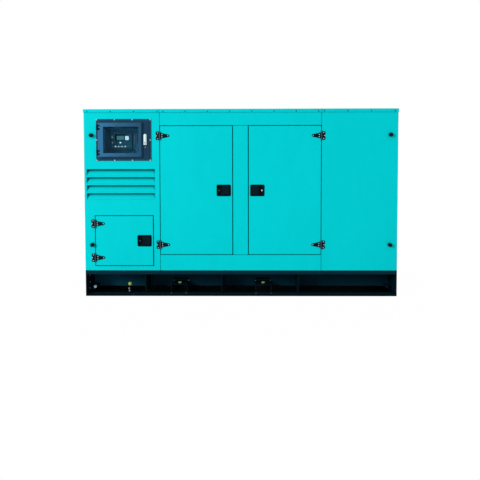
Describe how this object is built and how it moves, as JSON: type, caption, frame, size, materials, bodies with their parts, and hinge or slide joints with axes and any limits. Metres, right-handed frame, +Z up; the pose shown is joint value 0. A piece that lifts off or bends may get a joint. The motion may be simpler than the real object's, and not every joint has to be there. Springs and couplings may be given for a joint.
{
  "type": "enclosed gas turbine generating set",
  "caption": "Soundproof sheet-steel enclosure of a gas turbine generating set on a steel base with fork pockets, with hinged service doors, a cable door, louvres and a hinged control window.",
  "frame": {"origin": "middle of the base's underside, on the ground plane", "axes": "+X along the length from the control end to the outlet end, -Y out of the front with the control window and the service doors, +Z up"},
  "size_m": [3.008, 1.15, 1.8],
  "materials": {
    "canopy_paint": "satin turquoise powder coat",
    "base_paint": "semi-gloss black",
    "acoustic_foam": "matte charcoal foam",
    "black_rubber": "satin black",
    "black_fittings": "satin black",
    "black_plastic": "fine textured black",
    "yellow_plastic": "satin yellow-green",
    "window_paint": "satin blue-grey",
    "window_glass": "clear",
    "chrome": "polished",
    "bare_steel": "zinc plated",
    "machine_grey": "painted grey castings",
    "casing_steel": "heat-toned stainless steel"
  },
  "bodies": {
    "root": {"deck": "base_paint", "foot_rails": "base_paint", "gussets": "base_paint", "base_end_plates": "base_paint", "tank": "base_paint", "base_pan": "base_paint", "fork_pockets": "base_paint", "tank_stubs": "bare_steel", "earth_stud": "bare_steel", "yellow_caps": "yellow_plastic", "left_panel": "canopy_paint", "right_panel": "canopy_paint", "headers": "canopy_paint", "sill_panels": "canopy_paint", "center_posts": "canopy_paint", "doorway_frames": "canopy_paint", "rear_panels": "canopy_paint", "left_end_panel": "canopy_paint", "right_end_panel": "canopy_paint", "side_louvres": "canopy_paint", "outlet_louvres": "canopy_paint", "wall_linings": "acoustic_foam", "roof": "canopy_paint", "corner_knobs": "black_rubber", "hinge_leaves": "black_fittings", "rear_doors": "canopy_paint", "rear_hinges": "black_fittings", "rear_locks": "black_plastic", "window_flange": "window_paint", "control_recess": "black_fittings", "controller": "black_plastic", "skid": "base_paint", "alternator": "machine_grey", "gearbox": "machine_grey", "turbine": "casing_steel", "silencer": "casing_steel"},
    "left_door": {"left_door": "canopy_paint", "left_door_lining": "acoustic_foam", "left_door_straps": "black_fittings", "left_lock": "black_plastic"},
    "right_door": {"right_door": "canopy_paint", "right_door_lining": "acoustic_foam", "right_door_straps": "black_fittings", "right_lock": "black_plastic"},
    "cable_door": {"cable_door": "canopy_paint", "cable_door_lining": "acoustic_foam", "cable_door_straps": "black_fittings", "cable_lock": "black_plastic"},
    "control_window": {"window_leaf": "window_paint", "window_glass": "window_glass", "window_lock": "chrome"}
  },
  "joints": [
    {"name": "left_door_hinge", "type": "hinge", "parent": "root", "child": "left_door", "pos_m": [-0.773, -0.548, 1], "axis": [0, 0, -1], "range_deg": [0, 120]},
    {"name": "right_door_hinge", "type": "hinge", "parent": "root", "child": "right_door", "pos_m": [0.771, -0.548, 1], "axis": [0, 0, 1], "range_deg": [0, 120]},
    {"name": "cable_door_hinge", "type": "hinge", "parent": "root", "child": "cable_door", "pos_m": [-1.401, -0.548, 0.5375], "axis": [0, 0, -1], "range_deg": [0, 120]},
    {"name": "control_window_hinge", "type": "hinge", "parent": "root", "child": "control_window", "pos_m": [-1.368, -0.5535, 1.506], "axis": [0, 0, -1], "range_deg": [0, 110]}
  ]
}
